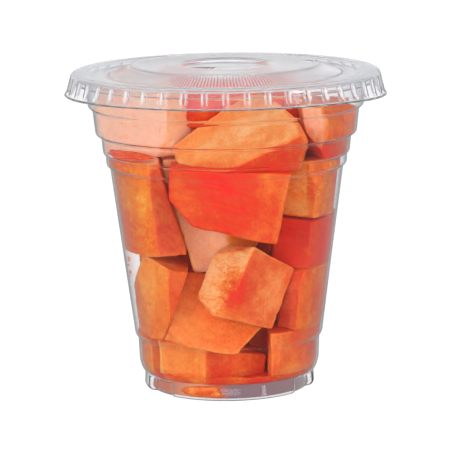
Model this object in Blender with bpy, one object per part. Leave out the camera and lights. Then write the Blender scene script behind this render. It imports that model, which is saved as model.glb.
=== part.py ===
"""A clear lidded cup of diced papaya.

Three kinds of piece are made, each its own object: the thin stepped cup, the flat push-on lid, and every
piece of fruit. The frame has +Z up, the cup stands on Z = 0 with its axis on Z, and -Y is the front.
Sizes below are millimetres and degrees; MM turns them into metres as each mesh is made.
"""
import math
import random

import bmesh
import bpy
from mathutils import Euler, Matrix, Vector

MM = 0.001

# The cup: a thermoformed shell, everywhere one wall thick.
WALL = 0.5
CUP_SEGMENTS = 60
BEAD_RADIUS = 1.35            # the rolled rim
BEAD_MIDDLE = (46.95, 98.75)  # its radius from the axis and its height
BEAD_POINTS = 6
# Radius and height at each corner of the outside, from under the rim down to the middle of the floor.
NECK = ((44.3, 96.6), (43.4, 90.0))
UPPER_BAND = ((42.1, 88.4), (41.2, 81.6))
LOWER_BAND = ((39.5, 79.7), (38.9, 75.2), (38.2, 71.8))
TAPERED_WALL = ((36.9, 70.3), (29.85, 17.3))
HEEL_BAND = ((28.9, 15.4), (28.6, 8.8), (28.0, 6.5), (27.1, 5.0))
FOOT = ((26.9, 4.4), (27.1, 1.0), (26.3, 0.0), (23.9, 0.0))
RAISED_FLOOR = ((22.9, 4.2), (22.2, 4.8), (0.0, 4.8))
# Three shallow panels between the foot's three lobes.
PANELS = 3
PANEL_MIDDLE = 64.0
PANEL_HALF_WIDTH = 12.5
PANEL_DEPTH = 1.6
FOOT_TOP = 4.6
FOOT_INNER_RADIUS = 24.5

# The lid: one wall thick, with nibs pressed into its skirt that hold it on the rolled rim.
LID_WALL = 0.5
NIBS = 48
NIB_DEPTH = 0.8
NIB_LOW, NIB_HIGH = 96.5, 99.4
SKIRT = ((50.8, 94.8), (50.4, 95.9), (50.1, 97.0), (49.6, 99.0), (49.3, 100.2))
RIM_CHANNEL = ((48.5, 101.0), (44.6, 101.0), (42.6, 99.9))
SHOULDER = ((36.5, 99.9),)
PLATEAU = ((29.5, 103.0), (14.2, 103.0))
CENTRE_RECESS = ((13.4, 102.1), (0.0, 102.1))

# The fruit. A piece starts as a box, placed by its middle, size and turn, then takes knife cuts.
GAP = 0.3              # left between pieces, and to the cup
FLOOR_TOP = 5.3
FRUIT_TOP = 98.0       # the fruit stays under the lid
WALL_SIDES = 16        # a piece is cut back from the wall by flat cuts at this many bearings
WALL_CUTS = 4          # at most this many at one bearing
LEAST_EXCESS = 0.01
STEEPEST = 0.6         # how far such a cut may lean, as run over rise
EDGE_ROUNDING = 0.9
SMALLEST_CUT = 1e-4    # metres; less than this isn't worth a cut

# name: middle, size, turn about X, Y and Z, and knife cuts (facing, distance from the middle).
# Earlier pieces keep their shape, and later ones are cut back where they lean on them.
SHOWN_PIECES = {
    "front_slab": ((0.5, -21, 62), (37, 18, 22), (0, 3, 0),
                   (((-0.75, 0, -0.66), 12.2), ((-0.22, 0, -1), 8.5), ((1, 1.2, 0), 16),
                    ((1, 0, -0.2), 16.6))),
    "top_front": ((5.4, -14.5, 77.6), (39, 30, 14), (30, -25, 0),
                  (((0.79, 0.27, 0.54), 16.3), ((-0.45, 0.83, 0.32), 13.6), ((1, -0.1, -0.3), 18.6))),
    "top_left": ((-23.8, 3.8, 85.5), (28, 22, 21), (0, 0, -35), ()),
    "left_high": ((-19.5, -9.3, 60.5), (26, 22, 30), (0, 0, 35), (((1, 0, 0.28), 2.2),)),
    "left_low": ((-18, -12, 32), (18, 20, 28), (0, 0, 40),
                 (((0.94, 0, -0.34), 2.5), ((0.35, 0, 0.94), 9.2), ((-0.95, 0, 0.3), 11.6))),
    "low_front": ((-3, -13.4, 22.6), (36, 12, 27), (-40, 8, 0),
                  (((0.66, 0, -0.75), 9.1), ((-0.17, 0, -0.98), 6.7))),
    "middle_front": ((4.6, -19.3, 34.1), (19, 17, 24), (0, 28, 38),
                     (((-0.4, -0.1, 0.9), 12.9), ((-0.74, -0.1, -0.67), 12), ((-0.24, -0.2, -1), 10))),
    "front_wedge": ((-8.9, -15.6, 58.2), (28, 22, 40), (0, -25, 48), (((-1, 0, -0.28), 7.1),)),
    "floor_front": ((-10.5, -10.2, 11.5), (34, 28.4, 13), (0, 10, 35),
                    (((0.31, 0, 0.95), 6.9), ((-0.53, -0.85, 0), 11.5), ((-0.85, 0.5, 0), 5.2))),
    "top_right": ((27, -9, 83.5), (24, 24, 17), (0, 0, 55), (((-1, -0.1, -0.15), 3.6),)),
    "right_high": ((22, -12, 66), (18, 18, 18), (0, 0, 35), ()),
    "right_middle": ((24, -6, 48.3), (22, 22, 15), (0, 0, 50), (((-1, 0, 0.2), 9),)),
    "right_low": ((22, -8, 34), (18, 20, 26), (0, 0, 40), ()),
    "floor_right": ((20, -11, 14), (18, 22, 21), (0, 0, 10), (((-1, 0, 0), 7.6),)),
    "floor_left": ((-20, -1, 12), (20, 20, 14), (0, 0, 25), ()),
    "top_middle": ((-1, 5, 90), (24, 20, 14), (0, 0, 0), ()),
}
# Layers of pieces behind those: height, distance from the axis, and bearings from the front.
BACK_LAYERS = ((14, 15, (105, 180, 245)), (33, 18, (115, 180, 245)), (51, 20, (125, 180, 240)),
               (70, 20, (110, 170, 225)), (88, 23, (100, 160, 215)))
CORE_LAYERS = ((43, 3, (170,)), (60, 5, (180,)), (78, 4, (180,)))
SPREAD_BEARING, SPREAD_HEIGHT, SPREAD_TILT, SPREAD_TURN = 8, 2, 25, 30
LONG_SIDE, SHORT_SIDE, THICKNESS = (20, 27), (18, 22), (17, 21)
SEED = 7


def clear_scene():
    for obj in list(bpy.data.objects):
        bpy.data.objects.remove(obj)


def material(name, colour, roughness, transmission=0.0):
    made = bpy.data.materials.new(name)
    made.use_nodes = True
    shader = made.node_tree.nodes["Principled BSDF"]
    shader.inputs["Base Color"].default_value = (*colour, 1.0)
    shader.inputs["Roughness"].default_value = roughness
    shader.inputs["Metallic"].default_value = 0.0
    shader.inputs["Transmission Weight"].default_value = transmission
    return made


def add_object(name, shape, finish):
    """Turns a bmesh in metres into a named object at the origin."""
    mesh = bpy.data.meshes.new(name)
    shape.to_mesh(mesh)
    shape.free()
    mesh.materials.append(finish)
    obj = bpy.data.objects.new(name, mesh)
    bpy.context.scene.collection.objects.link(obj)
    return obj


def inset_outline(outline, distance):
    """The outline moved towards the axis side by a distance, mitred at its corners."""
    moved = []
    for i, (radius, height) in enumerate(outline):
        ahead = Vector(outline[min(i + 1, len(outline) - 1)]) - Vector((radius, height))
        behind = Vector((radius, height)) - Vector(outline[max(i - 1, 0)])
        ahead = (ahead if ahead.length else behind).normalized()
        behind = (behind if behind.length else ahead).normalized()
        inward = Vector((ahead.y, -ahead.x)) + Vector((behind.y, -behind.x))
        inward.normalize()
        mitre = distance / max(inward.dot(Vector((ahead.y, -ahead.x))), 0.5)
        moved.append((max(radius + inward.x * mitre, 0.0), height + inward.y * mitre))
    return moved


def turn_outline(outline, segments):
    """Spins a closed outline, whose two ends lie on the axis, into a solid of revolution."""
    shape = bmesh.new()
    corners = [shape.verts.new((0, -radius * MM, height * MM)) for radius, height in outline]
    edges = [shape.edges.new(pair) for pair in zip(corners, corners[1:])]
    bmesh.ops.spin(shape, geom=corners + edges, cent=(0, 0, 0), axis=(0, 0, 1), dvec=(0, 0, 0),
                   angle=2 * math.pi, steps=segments, use_duplicate=False)
    bmesh.ops.remove_doubles(shape, verts=shape.verts, dist=1e-6)
    bmesh.ops.recalc_face_normals(shape, faces=shape.faces)
    return shape


def polar(point):
    """Radius in millimetres and bearing in degrees from the front, positive towards +X."""
    return math.hypot(point.x, point.y) / MM, math.degrees(math.atan2(point.x, -point.y))


def rolled_rim():
    """Points round the bead, from its inner top over the outside to its underside."""
    radius, height = BEAD_MIDDLE
    turns = [math.radians(120 - 230 * i / (BEAD_POINTS - 1)) for i in range(BEAD_POINTS)]
    return [(radius + BEAD_RADIUS * math.cos(a), height + BEAD_RADIUS * math.sin(a)) for a in turns]


def press_foot_panels(shape):
    """Pushes in the foot's outer wall over three panels, and leaves the three lobes between them."""
    for vertex in shape.verts:
        radius, bearing = polar(vertex.co)
        if vertex.co.z > FOOT_TOP * MM or radius < FOOT_INNER_RADIUS:
            continue
        off_middle = (bearing - PANEL_MIDDLE + 180 / PANELS) % (360 / PANELS) - 180 / PANELS
        if abs(off_middle) < PANEL_HALF_WIDTH:
            scale = (radius - PANEL_DEPTH) / radius
            vertex.co.x *= scale
            vertex.co.y *= scale


def make_cup(finish):
    body = NECK + UPPER_BAND + LOWER_BAND + TAPERED_WALL + HEEL_BAND + FOOT + RAISED_FLOOR
    outside = rolled_rim() + list(body)
    inside = inset_outline(body, WALL)
    shape = turn_outline(outside[::-1] + inside, CUP_SEGMENTS)
    press_foot_panels(shape)
    return add_object("cup", shape, finish)


def make_lid(finish):
    outside = SKIRT + RIM_CHANNEL + SHOULDER + PLATEAU + CENTRE_RECESS
    inside = inset_outline(outside, -LID_WALL)
    shape = turn_outline(list(outside[::-1]) + inside, 2 * NIBS)
    for vertex in shape.verts:
        radius, bearing = polar(vertex.co)
        at_nib = abs((bearing + 180 / NIBS) % (360 / NIBS) - 180 / NIBS) < 90 / NIBS
        if at_nib and radius > RIM_CHANNEL[0][0] and NIB_LOW < vertex.co.z / MM < NIB_HIGH:
            scale = (radius - NIB_DEPTH) / radius
            vertex.co.x *= scale
            vertex.co.y *= scale
    return add_object("lid", shape, finish)


def knife(shape, facing, reach):
    """Cuts off what lies beyond the plane that faces this way, this far from the origin, in metres."""
    if max(vertex.co.dot(facing) for vertex in shape.verts) <= reach + SMALLEST_CUT * 0.01:
        return
    everything = shape.verts[:] + shape.edges[:] + shape.faces[:]
    cut = bmesh.ops.bisect_plane(shape, geom=everything, dist=1e-7, plane_co=facing * reach,
                                 plane_no=facing, clear_outer=True)
    rim = [part for part in cut["geom_cut"] if isinstance(part, bmesh.types.BMEdge)]
    if rim:
        bmesh.ops.edgeloop_fill(shape, edges=rim)
    shape.normal_update()


def planes_of(shape):
    """Each face as the way it faces and its distance from the origin."""
    return [(face.normal.copy(), face.normal.dot(face.verts[0].co)) for face in shape.faces]


def overlaps(shape, planes):
    """True if some of the piece lies within all of these planes, given the gap it should keep."""
    rest = shape.copy()
    for facing, reach in planes:
        limit = reach + GAP * MM * 0.9
        if min(vertex.co.dot(facing) for vertex in rest.verts) >= limit:
            rest.free()
            return False
        knife(rest, facing, limit)
    rest.free()
    return True


def lean_on(shape, planes):
    """Cuts the piece back along the neighbour's face that costs it least, and leaves the gap."""
    if not overlaps(shape, planes):
        return
    def cost(plane):
        facing, reach = plane
        return reach - min(vertex.co.dot(facing) for vertex in shape.verts)
    facing, reach = min(planes, key=cost)
    knife(shape, -facing, -(reach + GAP * MM))


def inner_radius(height):
    """The cup's inside radius at a height, in millimetres, from the corners of its outside."""
    corners = sorted(((z, r) for r, z in NECK + UPPER_BAND + LOWER_BAND + TAPERED_WALL + HEEL_BAND))
    for (low, inner), (high, outer) in zip(corners, corners[1:]):
        if height <= high:
            share = max((height - low) / (high - low), 0.0)
            return inner + (outer - inner) * share - WALL
    return corners[-1][1] - WALL


def reaches(shape, out):
    """Height and reach to the wall, in mm, at the corners and where edges pass a corner of the wall."""
    for vertex in shape.verts:
        yield vertex.co.z / MM, vertex.co.dot(out) / MM
    for _, height in UPPER_BAND + LOWER_BAND + TAPERED_WALL + HEEL_BAND:
        for edge in shape.edges:
            low, high = sorted((vertex.co for vertex in edge.verts), key=lambda point: point.z)
            if low.z < height * MM < high.z:
                crossing = low.lerp(high, (height * MM - low.z) / (high.z - low.z))
                yield height, crossing.dot(out) / MM


def fit_in_cup(shape):
    """Cuts the piece back from the floor, the lid and the wall, with flat cuts all round."""
    knife(shape, Vector((0, 0, -1)), -(FLOOR_TOP + GAP) * MM)
    knife(shape, Vector((0, 0, 1)), FRUIT_TOP * MM)
    inscribed = math.cos(math.pi / WALL_SIDES)
    for side in range(WALL_SIDES):
        bearing = 2 * math.pi * side / WALL_SIDES
        out = Vector((math.cos(bearing), math.sin(bearing), 0.0))
        for _ in range(WALL_CUTS):
            excess, height = max((reach - inner_radius(height) * inscribed + GAP, height)
                                 for height, reach in reaches(shape, out))
            if excess <= LEAST_EXCESS:
                break
            slope = min(max(inner_radius(height) - inner_radius(height - 1), 0.0), STEEPEST)
            facing = (out - Vector((0, 0, slope))).normalized()
            free = inner_radius(height) * inscribed - GAP
            knife(shape, facing, (free - slope * height) * MM * facing.dot(out))


def fruit_box(middle, size, turn):
    """A box of fruit in metres, turned about X, then Y, then Z."""
    place = Matrix.Translation(Vector(middle) * MM) @ Euler(map(math.radians, turn)).to_matrix().to_4x4()
    shape = bmesh.new()
    bmesh.ops.create_cube(shape, size=1.0)
    bmesh.ops.scale(shape, vec=Vector(size) * MM, verts=shape.verts)
    bmesh.ops.transform(shape, matrix=place, verts=shape.verts)
    shape.normal_update()
    return shape


def back_pieces():
    """Name, middle, size and turn of the pieces that fill the cup behind the shown ones."""
    draw = random.Random(SEED)
    for layer, (height, from_axis, bearings) in enumerate(BACK_LAYERS + CORE_LAYERS):
        for place, bearing in enumerate(bearings):
            bearing += draw.uniform(-SPREAD_BEARING, SPREAD_BEARING)
            around = math.radians(bearing)
            middle = (from_axis * math.sin(around), -from_axis * math.cos(around),
                      height + draw.uniform(-SPREAD_HEIGHT, SPREAD_HEIGHT))
            size = tuple(draw.uniform(*side) for side in (LONG_SIDE, SHORT_SIDE, THICKNESS))
            turn = (draw.uniform(-SPREAD_TILT, SPREAD_TILT), draw.uniform(-SPREAD_TILT, SPREAD_TILT),
                    bearing + draw.uniform(-SPREAD_TURN, SPREAD_TURN))
            yield f"inner_{layer + 1}_{place + 1}", middle, size, turn, ()


def make_fruit(finish):
    rows = [(name, *row) for name, row in SHOWN_PIECES.items()] + list(back_pieces())
    placed = []
    for name, middle, size, turn, cuts in rows:
        shape = fruit_box(middle, size, turn)
        for facing, distance in cuts:
            facing = Vector(facing).normalized()
            knife(shape, facing, facing.dot(Vector(middle) * MM) + distance * MM)
        fit_in_cup(shape)
        for planes in placed:
            lean_on(shape, planes)
        placed.append(planes_of(shape))
        bmesh.ops.dissolve_degenerate(shape, dist=0.3 * MM, edges=shape.edges)
        obj = add_object(f"papaya_{name}", shape, finish)
        rounding = obj.modifiers.new("rounded_edges", "BEVEL")
        rounding.width = EDGE_ROUNDING * MM
        rounding.segments = 1
        rounding.limit_method = "ANGLE"
        rounding.angle_limit = math.radians(12)


clear_scene()
make_cup(material("clear_cup", (0.93, 0.95, 0.96), 0.06, transmission=1.0))
make_lid(material("clear_lid", (0.90, 0.92, 0.94), 0.10, transmission=1.0))
make_fruit(material("papaya_flesh", (0.86, 0.27, 0.07), 0.38))
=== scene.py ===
"""The looks of a clear lidded cup of diced papaya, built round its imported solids.

The frame has +Z up, the cup stands on Z = 0 with its axis on Z, and -Y is the front. Everything is in
metres, and MM turns the sizes below, given in millimetres, into metres.
"""
import math

import bpy
import numpy as np
from mathutils import Matrix, Vector


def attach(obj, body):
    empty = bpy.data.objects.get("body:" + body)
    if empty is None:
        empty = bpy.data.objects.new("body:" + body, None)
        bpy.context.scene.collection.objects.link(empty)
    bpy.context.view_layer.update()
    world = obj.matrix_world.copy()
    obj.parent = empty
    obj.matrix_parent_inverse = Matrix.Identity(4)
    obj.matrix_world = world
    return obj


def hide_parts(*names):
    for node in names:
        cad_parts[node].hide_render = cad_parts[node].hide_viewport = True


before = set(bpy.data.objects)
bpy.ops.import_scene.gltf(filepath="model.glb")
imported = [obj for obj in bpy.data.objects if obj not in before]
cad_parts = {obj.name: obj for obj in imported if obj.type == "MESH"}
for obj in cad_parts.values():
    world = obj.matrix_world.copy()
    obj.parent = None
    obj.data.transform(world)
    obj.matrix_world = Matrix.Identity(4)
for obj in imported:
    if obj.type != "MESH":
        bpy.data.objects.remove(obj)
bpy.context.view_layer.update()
scene = bpy.context.scene
MM = 0.001

# ---------------------------------------------------------------------------------------------- the view
# The cup is seen from straight in front and a little above, through a long lens, so that its walls hardly
# lean. The picture is square, and the camera is rolled by less than a degree.
PICTURE_SIDE = 453              # pixels, as are the next two
AIM_PIXEL = (227.5, 229.0)      # where the point that the camera is aimed at lies in the picture
FOCAL_PIXELS = 2988
AIM_HEIGHT = 50 * MM
VIEW_DISTANCE = 0.95
VIEW_DOWN = math.radians(9.976)
VIEW_ROLL = math.radians(-0.79)
FILM_WIDTH = 36                 # millimetres
NEAREST_SEEN, FARTHEST_SEEN = 0.05, 20


def add_camera():
    data = bpy.data.cameras.new("camera")
    data.sensor_width = FILM_WIDTH
    data.lens = FOCAL_PIXELS / PICTURE_SIDE * FILM_WIDTH
    data.clip_start, data.clip_end = NEAREST_SEEN, FARTHEST_SEEN
    data.shift_x = (PICTURE_SIDE / 2 - AIM_PIXEL[0]) / PICTURE_SIDE
    data.shift_y = (AIM_PIXEL[1] - PICTURE_SIDE / 2) / PICTURE_SIDE
    ahead = Vector((0, math.cos(VIEW_DOWN), -math.sin(VIEW_DOWN)))
    right = Vector((1, 0, 0))
    above = right.cross(ahead)
    across = right * math.cos(VIEW_ROLL) + above * math.sin(VIEW_ROLL)
    up = above * math.cos(VIEW_ROLL) - right * math.sin(VIEW_ROLL)
    camera = bpy.data.objects.new("camera", data)
    scene.collection.objects.link(camera)
    camera.matrix_world = Matrix((across, up, -ahead)).transposed().to_4x4()
    camera.location = Vector((0, 0, AIM_HEIGHT)) - ahead * VIEW_DISTANCE
    scene.camera = camera


add_camera()

# --------------------------------------------------------------------------------- the light and the floor
# A white light table takes no shadow. It is seen at full strength, and what it lights or what mirrors it
# gets less, which keeps the plastic clear and its edges grey. Under the cup it glows in painted light and
# shade, seen through the foot: a painted reflection of the fruit in orange and peach at the left, painted
# shade in grey-mauve at the right. Soft lamps light the fruit, mostly from the front.
GROUND_RADIUS, GROUND_SIDES = 4.0, 96
TABLE_GLOW, LESSER_GLOW = 1.06, 0.40
TABLE_WHITE = (1, 1, 1)
UNDER_CUP_RADIUS = 24.2 * MM
# Painted reflection and shade under the foot: X in millimetres and the colour that the table glows there.
FOOT_REFLECTION_AND_SHADE = ((-22, (0.55, 0.13, 0.06)), (-9, (0.78, 0.38, 0.26)), (-4.5, (0.64, 0.12, 0.05)),
             (1, (0.26, 0.16, 0.18)), (22, (0.30, 0.19, 0.20)))      # X in millimetres, and the colour there
ROOM_TINT = (0.97, 0.985, 1.0)
ROOM_SIDES = 0.24
# What the front, the back and the ceiling add to the sides' glow, and from and to which slope each sets in.
ROOM_FRONT, FRONT_SLOPES = 0.35, (-0.25, -0.85)
ROOM_BACK, BACK_SLOPES = 0.62, (0.35, 0.9)
ROOM_ABOVE, ABOVE_SLOPES = 0.25, (0.15, 0.8)


def node_tree(owner):
    owner.use_nodes = True
    owner.node_tree.nodes.clear()
    return owner.node_tree


def link(tree, source, target):
    tree.links.new(source, target)


def math_node(tree, kind, first, second=0.0, clamp=False):
    """One maths step. first and second are sockets or plain numbers."""
    node = tree.nodes.new("ShaderNodeMath")
    node.operation = kind
    node.use_clamp = clamp
    for socket, value in zip(node.inputs, (first, second)):
        if isinstance(value, (int, float)):
            socket.default_value = value
        else:
            link(tree, value, socket)
    return node.outputs[0]


def fade(tree, value, low, high):
    """0 up to low, 1 from high on, and smooth between. low may be the greater."""
    node = tree.nodes.new("ShaderNodeMapRange")
    node.interpolation_type = "SMOOTHSTEP"
    node.inputs["From Min"].default_value = low
    node.inputs["From Max"].default_value = high
    link(tree, value, node.inputs["Value"])
    return node.outputs[0]


def colour_ramp(tree, stops):
    """A ramp through (place, linear colour) stops."""
    ramp = tree.nodes.new("ShaderNodeValToRGB")
    steps = ramp.color_ramp.elements
    while len(steps) < len(stops):
        steps.new(0.5)
    for step, (place, colour) in zip(steps, stops):
        step.position = place
        step.color = (*colour, 1.0)
    return ramp


def add_room():
    """A grey room, brightest behind the cup, less bright in front and above, and darkest at the sides."""
    world = bpy.data.worlds.new("room")
    scene.world = world
    tree = node_tree(world)
    coords = tree.nodes.new("ShaderNodeTexCoord")
    way = tree.nodes.new("ShaderNodeSeparateXYZ")
    link(tree, coords.outputs["Generated"], way.inputs[0])
    front = math_node(tree, "MULTIPLY", fade(tree, way.outputs["Y"], *FRONT_SLOPES), ROOM_FRONT)
    wall = math_node(tree, "MULTIPLY", fade(tree, way.outputs["Y"], *BACK_SLOPES), ROOM_BACK)
    ceiling = math_node(tree, "MULTIPLY", fade(tree, way.outputs["Z"], *ABOVE_SLOPES), ROOM_ABOVE)
    pale = math_node(tree, "MAXIMUM", math_node(tree, "MAXIMUM", front, wall), ceiling)
    glow = tree.nodes.new("ShaderNodeBackground")
    glow.inputs["Color"].default_value = (*ROOM_TINT, 1)
    link(tree, math_node(tree, "ADD", pale, ROOM_SIDES), glow.inputs["Strength"])
    out = tree.nodes.new("ShaderNodeOutputWorld")
    link(tree, glow.outputs[0], out.inputs["Surface"])


def add_lamp(name, place, aim, size, power, mirrored=True, bent=True):
    """A soft lamp, placed, aimed and sized in metres, of a power in watts.

    The plastic mirrors it only if mirrored, and bends its light only if bent.
    """
    data = bpy.data.lights.new(name, "AREA")
    data.shape = "RECTANGLE"
    data.size, data.size_y = size
    data.energy = power
    lamp = bpy.data.objects.new(name, data)
    lamp.visible_glossy = mirrored
    lamp.visible_transmission = bent
    scene.collection.objects.link(lamp)
    lamp.location = place
    lamp.rotation_euler = (Vector(aim) - Vector(place)).to_track_quat("-Z", "Y").to_euler()


def light_table():
    """White outside the cup's foot and FOOT_REFLECTION_AND_SHADE's colours inside it, fainter for light that has bounced."""
    paint = bpy.data.materials.new("light_table")
    tree = node_tree(paint)
    coords = tree.nodes.new("ShaderNodeTexCoord")
    spot = tree.nodes.new("ShaderNodeSeparateXYZ")
    link(tree, coords.outputs["Object"], spot.inputs[0])
    # The painted reflection and shade inside the foot's ring, as a ramp of colour across X.
    first, last = FOOT_REFLECTION_AND_SHADE[0][0], FOOT_REFLECTION_AND_SHADE[-1][0]
    stops = [((x - first) / (last - first), colour) for x, colour in FOOT_REFLECTION_AND_SHADE]
    shade = colour_ramp(tree, stops)
    across = math_node(tree, "MULTIPLY", spot.outputs["X"], 1 / (last - first) / MM)
    link(tree, math_node(tree, "ADD", across, -first / (last - first)), shade.inputs[0])
    out_from_axis = tree.nodes.new("ShaderNodeVectorMath")
    out_from_axis.operation = "LENGTH"
    link(tree, coords.outputs["Object"], out_from_axis.inputs[0])
    beside = fade(tree, out_from_axis.outputs["Value"], UNDER_CUP_RADIUS, UNDER_CUP_RADIUS + MM)
    path = tree.nodes.new("ShaderNodeLightPath")
    bounced = math_node(tree, "ADD", path.outputs["Diffuse Depth"], path.outputs["Glossy Depth"])
    straight = math_node(tree, "LESS_THAN", bounced, 0.5)       # 1 before the first bounce, 0 after it
    strength = math_node(tree, "MULTIPLY", straight, TABLE_GLOW - LESSER_GLOW)
    mixed = tree.nodes.new("ShaderNodeMix")
    mixed.data_type = "RGBA"
    link(tree, beside, mixed.inputs["Factor"])
    link(tree, shade.outputs["Color"], mixed.inputs["A"])
    mixed.inputs["B"].default_value = (*TABLE_WHITE, 1)
    glow = tree.nodes.new("ShaderNodeEmission")
    link(tree, mixed.outputs["Result"], glow.inputs["Color"])
    link(tree, math_node(tree, "ADD", strength, LESSER_GLOW), glow.inputs["Strength"])
    out = tree.nodes.new("ShaderNodeOutputMaterial")
    link(tree, glow.outputs[0], out.inputs["Surface"])
    return paint


def add_ground():
    turns = np.linspace(0, 2 * np.pi, GROUND_SIDES, endpoint=False)
    rim = np.c_[np.cos(turns), np.sin(turns), np.zeros(GROUND_SIDES)] * GROUND_RADIUS
    mesh = bpy.data.meshes.new("table")
    mesh.from_pydata(rim.tolist(), [], [list(range(GROUND_SIDES))])
    mesh.materials.append(light_table())
    table = bpy.data.objects.new("table", mesh)
    scene.collection.objects.link(table)


add_room()
add_lamp("overhead", (0.0, -0.35, 1.0), (0, 0, 0), (1.2, 0.8), 0.7)
add_lamp("left", (-1.0, -0.9, 0.50), (0, 0, 0.05), (0.16, 0.95), 4.3)
add_lamp("right", (1.05, -0.75, 0.50), (0, 0, 0.05), (0.14, 0.95), 3.6)
add_lamp("front", (0.0, -1.5, 0.32), (0, 0, 0.05), (0.9, 0.3), 2.9, mirrored=False)
add_lamp("low_front", (0.0, -1.2, 0.08), (0, 0, 0.05), (1.4, 0.12), 1.9, mirrored=False)
add_lamp("back", (0.2, 1.4, 0.12), (0, 0, 0.05), (1.6, 0.15), 3.2, mirrored=False, bent=False)
add_ground()
scene.view_settings.view_transform = "Standard"
scene.cycles.max_bounces = 16
scene.cycles.transmission_bounces = 12
scene.cycles.transparent_max_bounces = 12
scene.cycles.diffuse_bounces = 8
scene.cycles.glossy_bounces = 6
scene.cycles.sample_clamp_indirect = 6
scene.cycles.use_denoising = True

# ------------------------------------------------------------------------------------ the cup's own shape
# The fruit is pressed against the clear wall, so the wall's outline comes first: radius and height of each
# corner of its outside, in millimetres, from under the rim down to the middle of the floor.
CUP_WALL = 0.42
CUP_OUTSIDE = ((44.3, 96.6), (43.5, 90.2), (42.1, 89.0), (41.3, 81.6), (39.5, 80.3), (39.0, 75.4),
               (38.2, 74.6), (38.0, 71.6), (36.9, 70.6), (29.85, 17.3), (28.9, 15.9), (28.6, 8.8),
               (28.0, 6.5), (27.1, 5.0),
               (26.9, 4.4), (27.1, 1.0), (26.3, 0.0), (23.9, 0.0), (22.9, 4.2), (22.2, 4.8), (0.0, 4.8))
FRUIT_WALL = CUP_OUTSIDE[:14]       # the part round the fruit, down to the heel

# --------------------------------------------------------------------------------------------- the papaya
# Ripe flesh, hand cut into chunks: flat knife faces with soft edges, pale yellow-orange towards the peel
# and deep red towards the seed hollow, where the flesh is stringy and torn. Each chunk stands for one solid.
FINE_STEPS, PLAIN_STEPS = 66, 34
SAME_WAY, SAME_PLANE = 0.999, 0.1 * MM      # triangles of one face: cosine between them, and step
SHARPNESS = 60          # how tightly the surface follows two faces into their edge
NORMAL_BLEND = 12       # how tightly the normal does
SWELL = 0.20            # closes most of the gap that the solids keep
NARROWEST_FACE = 1.6    # narrower faces of a solid are its chamfers, or small flats at a thin end
EDGE_PROUD = 0.75       # how far an edge stands out from those narrow faces
NEAR_EDGE = (0.86, 1.0)         # nearness of the second face over that of the first, where an edge sets in
ON_HOLLOW = (0.45, 0.85)        # cosine to the way to the hollow, from whole to torn flesh
ON_FACE = (0.80, 0.94)          # cosine to a face's way, from beside it to on it
TONE_DEPTH = (0.05, 0.95)       # share of the way through, from the peel's to the hollow's tone
# Edges are painted paler: a painted highlight along them.
PAINTED_EDGE_LIGHT = 0.07                # how much paler an edge is
GRAIN_WAY = (0.3, 0.2, 1.0)     # the strings run across this and the way to the hollow
GRAIN_STRETCH = 4.5             # how much longer than wide they are
GRAIN_DRIFT, GRAIN_DRIFT_LENGTH = 0.6, 6
TEAR_DEPTH, TORN_BELOW = 0.22, 0.1
EDGE_WORN, NICK_DEPTH = 0.05, 0.30
NICKED = (-0.6, 0.8)            # which part of the worn wave has nicks
# The flesh's waves: strength, length in millimetres, what it adds to the chunk's seed, number of sines.
WAVES = {"broad_tone": (0.07, 14, 0, 24), "fine_tone": (0.04, 4, 1, 24),
         "long_tears": (0.5, 2.4, 5, 32), "short_tears": (0.3, 1.4, 6, 32),
         "bends": (0.16, 11, 7, 24), "pits": (0.05, 2.2, 8, 24),
         "nicks": (1, 3.2, 9, 24), "worn": (1, 9, 10, 24)}
WAVE_SPREAD = (0.7, 1.6)        # the lengths in one field of waves, as shares of its length
WALL_CLEARANCE = 0.3
PRESSED_GAP, PRESSED_FADE = 3.6, 1.2    # nearer flesh is pressed against the wall, and fully so by the fade
FACES_WALL = (0.05, 0.45)       # cosine to the way out, from not pressed to pressed
AT_SIDES, AT_BACK = (0.62, 0.82), (-0.1, 0.2)       # X and Y of the way out, from not pressed to pressed


def flat_faces(node):
    """The faces of a solid: the way each faces, its distance from the frame's origin, and its width.

    Triangles with one normal and one distance are one face. Its width is its area over its longest span.
    The solid's corners come last.
    """
    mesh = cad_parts[node].data
    mesh.calc_loop_triangles()
    ends = np.empty(len(mesh.loop_triangles) * 3, np.int32)
    mesh.loop_triangles.foreach_get("vertices", ends)
    spots = np.empty(len(mesh.vertices) * 3, np.float32)
    mesh.vertices.foreach_get("co", spots)
    spots = spots.reshape(-1, 3).astype(float)
    corners = spots[ends].reshape(-1, 3, 3)
    across = np.cross(corners[:, 1] - corners[:, 0], corners[:, 2] - corners[:, 0])
    area = np.linalg.norm(across, axis=1) / 2
    facing = across / np.maximum(2 * area, 1e-12)[:, None]
    reach = (facing * corners[:, 0]).sum(axis=1)
    alike = (facing @ facing.T > SAME_WAY) & (abs(reach[:, None] - reach) < SAME_PLANE)
    group = alike.argmax(axis=1)
    kept = np.unique(group)
    areas = [area[group == first].sum() for first in kept]
    spans = [np.linalg.norm(np.ptp(corners[group == first].reshape(-1, 3), axis=0)) for first in kept]
    return facing[kept], reach[kept], np.array(areas) / np.array(spans), spots


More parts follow.
